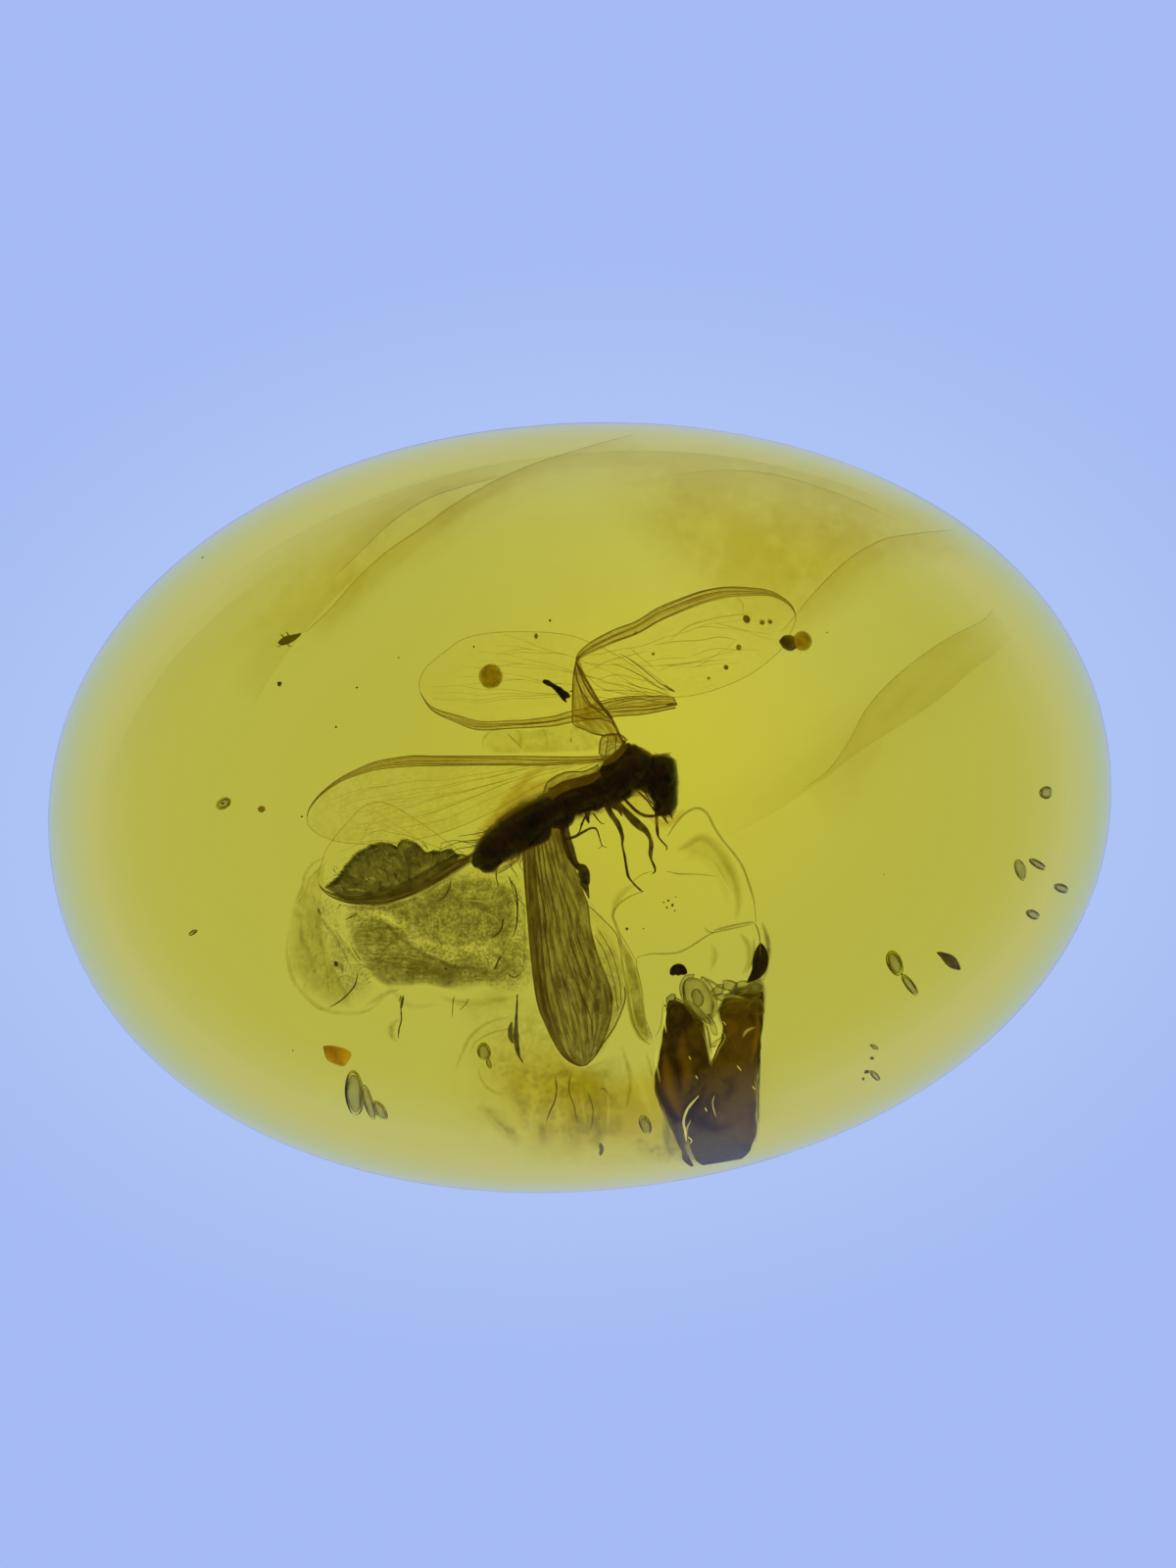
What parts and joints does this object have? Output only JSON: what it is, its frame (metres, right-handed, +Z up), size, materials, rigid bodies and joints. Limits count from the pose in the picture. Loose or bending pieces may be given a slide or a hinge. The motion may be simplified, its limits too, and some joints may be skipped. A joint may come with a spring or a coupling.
{
  "type": "insect in amber",
  "caption": "Oval polished cabochon of clear yellow amber, domed above and flat below, with a winged termite, bark and small debris sealed inside.",
  "frame": {"origin": "under the middle of the stone, on the flat ground base that it rests on", "axes": "+Z up through the dome, +X along the stone's long axis towards the insect's head, +Y towards the two raised wings"},
  "size_m": [0.024, 0.0174, 0.0056],
  "materials": {
    "amber": "polished, clear yellow with a green cast",
    "insect": "dark brown chitin",
    "membrane": "thin see-through wing membrane, brown along its leading edge",
    "bark": "dark brown, cracked along its grain",
    "debris": "near-black plant and insect scraps",
    "flake": "orange-brown resin scrap"
  },
  "bodies": {
    "root": {"amber_lower": "amber", "amber_upper": "amber", "termite_body": "insect", "wing_upper_right": "membrane", "wing_upper_left": "membrane", "wing_left": "membrane", "wing_lower_left": "membrane", "wing_lower": "membrane", "bark_chip": "bark", "bark_crumb_left": "bark", "bark_crumb_right": "bark", "midge": "debris", "splinter": "debris", "needle": "debris", "orange_flake": "flake"}
  },
  "joints": []
}
